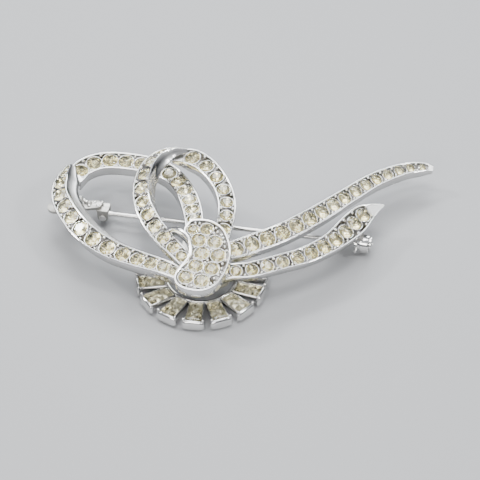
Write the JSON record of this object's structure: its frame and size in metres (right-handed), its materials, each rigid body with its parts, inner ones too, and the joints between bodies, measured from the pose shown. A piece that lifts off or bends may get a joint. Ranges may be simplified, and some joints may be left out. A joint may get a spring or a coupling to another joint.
{
  "type": "bow brooch",
  "caption": "Bow-shaped brooch of stone-set ribbon loops and tails with a paved knot, a fan of baguettes, and a hinged pin with a roller catch on the back.",
  "frame": {"origin": "middle of the bounding box, at the height of the lowest point, where the fan's end plates rest", "axes": "+X along the pin stem from its hinge to the catch, +Y from the fan towards the loops, +Z out of the face"},
  "size_m": [0.0726, 0.0476, 0.0135],
  "materials": {
    "ribbon_metal": "rhodium-plated casting, bright on the rims, duller between the stones",
    "polished_metal": "rhodium-plated, mirror polished, light handling marks",
    "finding_metal": "plated sheet and solder, dull with a little tarnish",
    "pin_steel": "drawn nickel-plated wire, satin bright",
    "round_stone": "faceted foil-backed glass, pale champagne",
    "baguette_stone": "step-cut foil-backed glass, pale champagne"
  },
  "bodies": {
    "brooch": {"outer_front": "ribbon_metal", "outer_back": "ribbon_metal", "bow_left": "ribbon_metal", "bow_right": "ribbon_metal", "long_tail": "ribbon_metal", "short_tail": "ribbon_metal", "knot_plate": "polished_metal", "knot_scroll": "polished_metal", "foundation_plate": "finding_metal", "fan_ring": "polished_metal", "baguette_setting_1": "polished_metal", "baguette_setting_2": "polished_metal", "baguette_setting_3": "polished_metal", "baguette_setting_4": "polished_metal", "baguette_setting_5": "polished_metal", "baguette_setting_6": "polished_metal", "baguette_setting_7": "polished_metal", "baguette_setting_8": "polished_metal", "baguette_setting_9": "polished_metal", "baguette_1": "baguette_stone", "baguette_2": "baguette_stone", "baguette_3": "baguette_stone", "baguette_4": "baguette_stone", "baguette_5": "baguette_stone", "baguette_6": "baguette_stone", "baguette_7": "baguette_stone", "baguette_8": "baguette_stone", "baguette_9": "baguette_stone", "stones_outer_front": "round_stone", "stones_outer_back": "round_stone", "stones_bow_left": "round_stone", "stones_bow_right": "round_stone", "stones_long_tail": "round_stone", "stones_short_tail": "round_stone", "stones_knot": "round_stone", "hinge_base": "finding_metal", "hinge_bracket": "finding_metal", "hinge_rivet": "pin_steel", "catch_base": "finding_metal", "catch_housing": "finding_metal"},
    "pin": {"pin_stem": "pin_steel"},
    "roller": {"catch_roller": "pin_steel"}
  },
  "joints": [
    {"name": "pin_hinge", "type": "hinge", "parent": "brooch", "child": "pin", "pos_m": [-0.0258, 0.0024, 0.0023], "axis": [0, 1, 0], "range_deg": [0, 95]},
    {"name": "catch_roller", "type": "hinge", "parent": "brooch", "child": "roller", "pos_m": [0.025, 0.0024, 0.0023], "axis": [1, 0, 0], "range_deg": [0, 100]}
  ]
}
